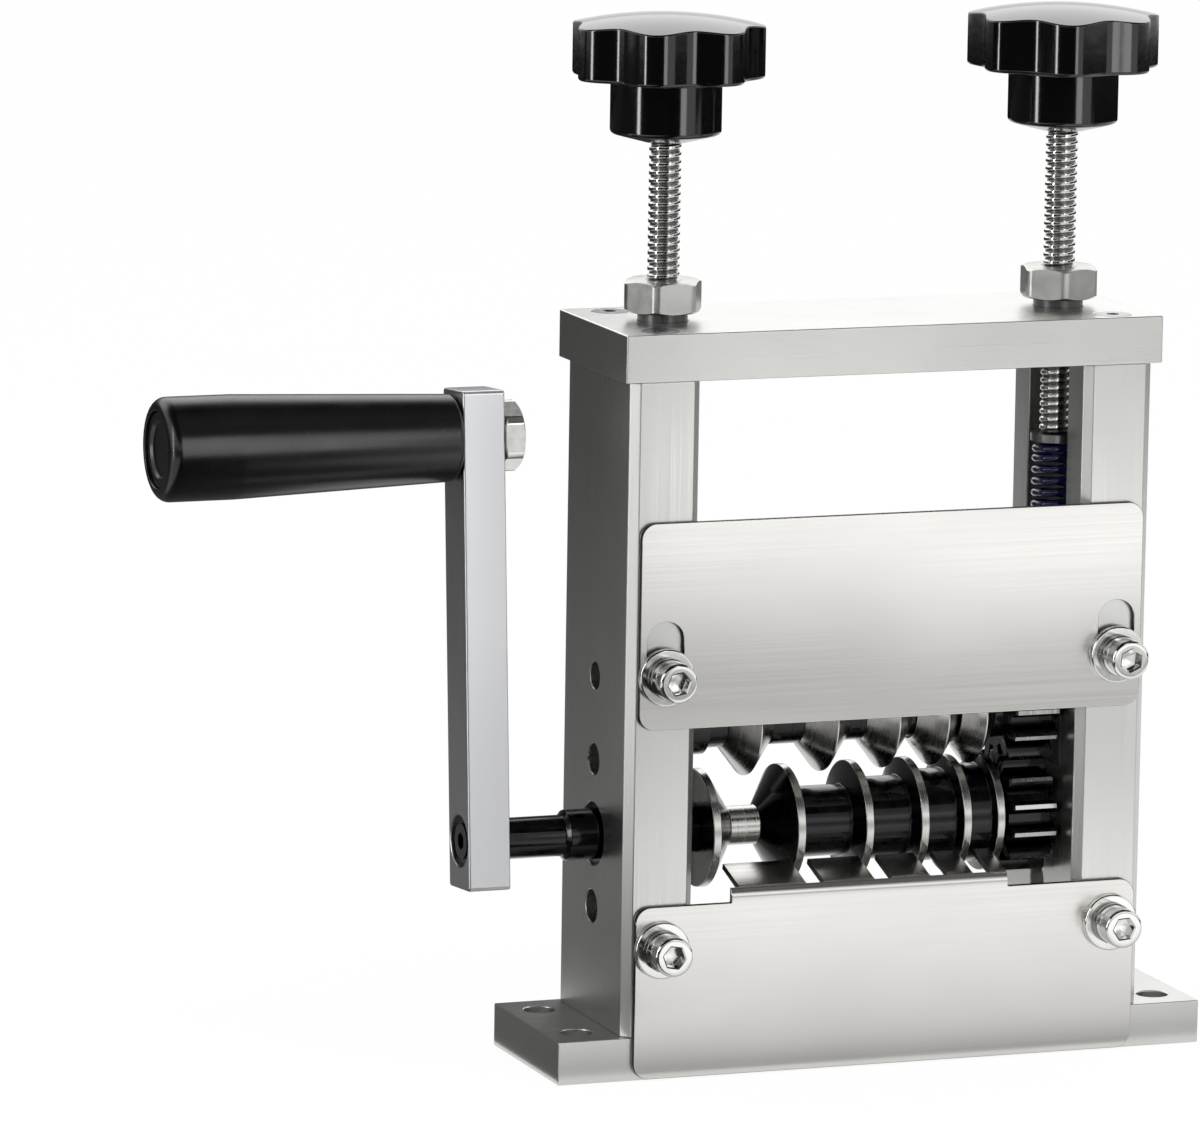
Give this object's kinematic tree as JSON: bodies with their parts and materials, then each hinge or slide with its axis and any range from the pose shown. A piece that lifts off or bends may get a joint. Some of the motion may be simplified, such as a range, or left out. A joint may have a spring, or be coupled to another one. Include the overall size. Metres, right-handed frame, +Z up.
{
  "type": "hand crank wire stripper",
  "caption": "Bench wire stripper: a frame of slotted columns holds a crank-turned grooved feed roller, geared disc knives above it, and star knobs that set the knife height.",
  "frame": {"origin": "centre of the base plate's underside, below the roller and midway between the columns", "axes": "+Z up along the columns, -Y out of the front with the covers, +X along the roller towards the gears, so the crank is on the -X side"},
  "size_m": [0.2699, 0.0599, 0.2646],
  "materials": {
    "frame_metal": "satin machined",
    "cover_steel": "finely brushed stainless sheet",
    "black_steel": "black oxide, turned",
    "knife_steel": "black oxide with ground edges",
    "arm_metal": "satin machined",
    "dark_screw": "black oxide",
    "bright_steel": "bright zinc plated",
    "plate_screw_steel": "zinc plated",
    "block_steel": "milled",
    "bearing_bronze": "turned bronze",
    "spring_paint": "gloss navy paint",
    "grip_plastic": "satin moulded",
    "knob_plastic": "gloss moulded"
  },
  "bodies": {
    "frame": {"base_plate": "frame_metal", "top_plate": "frame_metal", "column_left": "frame_metal", "column_right": "frame_metal", "lower_cover": "cover_steel", "drive_bearing_left": "black_steel", "drive_bearing_right": "black_steel", "hex_bush_left": "bright_steel", "hex_bush_right": "bright_steel", "cover_bolt_upper_left": "bright_steel", "cover_bolt_upper_right": "bright_steel", "cover_bolt_lower_left": "bright_steel", "cover_bolt_lower_right": "bright_steel", "washer_upper_left": "bright_steel", "washer_upper_right": "bright_steel", "washer_lower_left": "bright_steel", "washer_lower_right": "bright_steel", "lock_washer_upper_left": "bright_steel", "lock_washer_upper_right": "bright_steel", "lock_washer_lower_left": "bright_steel", "lock_washer_lower_right": "bright_steel", "plate_screw_front_left": "plate_screw_steel", "plate_screw_front_right": "plate_screw_steel", "plate_screw_back_left": "plate_screw_steel", "plate_screw_back_right": "plate_screw_steel", "base_screw_front_left": "plate_screw_steel", "base_screw_front_right": "plate_screw_steel", "base_screw_back_left": "plate_screw_steel", "base_screw_back_right": "plate_screw_steel"},
    "upper_cover": {"upper_cover": "cover_steel"},
    "crank": {"drive_shaft": "black_steel", "feed_roller": "black_steel", "drive_gear": "black_steel", "crank_arm": "arm_metal", "crank_screw": "dark_screw", "handle_axle": "bright_steel", "handle_nut": "bright_steel"},
    "grip": {"grip": "grip_plastic", "grip_cap": "grip_plastic"},
    "knife_carriage": {"bearing_block_left": "block_steel", "bearing_block_right": "block_steel", "knife_bearing_left": "bearing_bronze", "knife_bearing_right": "bearing_bronze", "spring_left": "spring_paint", "spring_right": "spring_paint", "spring_cap_left": "block_steel", "spring_cap_right": "block_steel"},
    "knife_shaft": {"knife_shaft": "black_steel", "knife_collar": "black_steel", "driven_gear": "black_steel", "knife_1": "knife_steel", "knife_2": "knife_steel", "knife_3": "knife_steel", "knife_4": "knife_steel", "knife_5": "knife_steel"},
    "left_knob": {"knob_left": "knob_plastic", "screw_left": "bright_steel"},
    "right_knob": {"knob_right": "knob_plastic", "screw_right": "bright_steel"}
  },
  "joints": [
    {"name": "crank_spin", "type": "hinge", "parent": "frame", "child": "crank", "pos_m": [0, 0, 0.0585], "axis": [1, 0, 0], "continuous": true},
    {"name": "grip_spin", "type": "hinge", "parent": "crank", "child": "grip", "pos_m": [-0.15, 0.00775, 0.1592], "axis": [1, 0, 0], "continuous": true},
    {"name": "knife_height", "type": "slide", "parent": "frame", "child": "knife_carriage", "axis": [0, 0, 1], "range_m": [0, 0.003]},
    {"name": "knife_spin", "type": "hinge", "parent": "knife_carriage", "child": "knife_shaft", "pos_m": [0, 0, 0.0865], "axis": [1, 0, 0], "continuous": true},
    {"name": "left_knob_turn", "type": "hinge", "parent": "knife_carriage", "child": "left_knob", "pos_m": [-0.0535, 0, 0.2], "axis": [0, 0, 1], "range_deg": [0, 540]},
    {"name": "right_knob_turn", "type": "hinge", "parent": "knife_carriage", "child": "right_knob", "pos_m": [0.0535, 0, 0.2], "axis": [0, 0, 1], "range_deg": [0, 540]},
    {"name": "cover_slide", "type": "slide", "parent": "frame", "child": "upper_cover", "axis": [0, 0, -1], "range_m": [-0.0015, 0.0105]}
  ],
  "couplings": [
    {"joint": "knife_spin", "follows": "crank_spin", "ratio": -1},
    {"joint": "left_knob_turn", "follows": "knife_height", "rad_per_m": 3141.6},
    {"joint": "right_knob_turn", "follows": "knife_height", "rad_per_m": 3141.6}
  ]
}
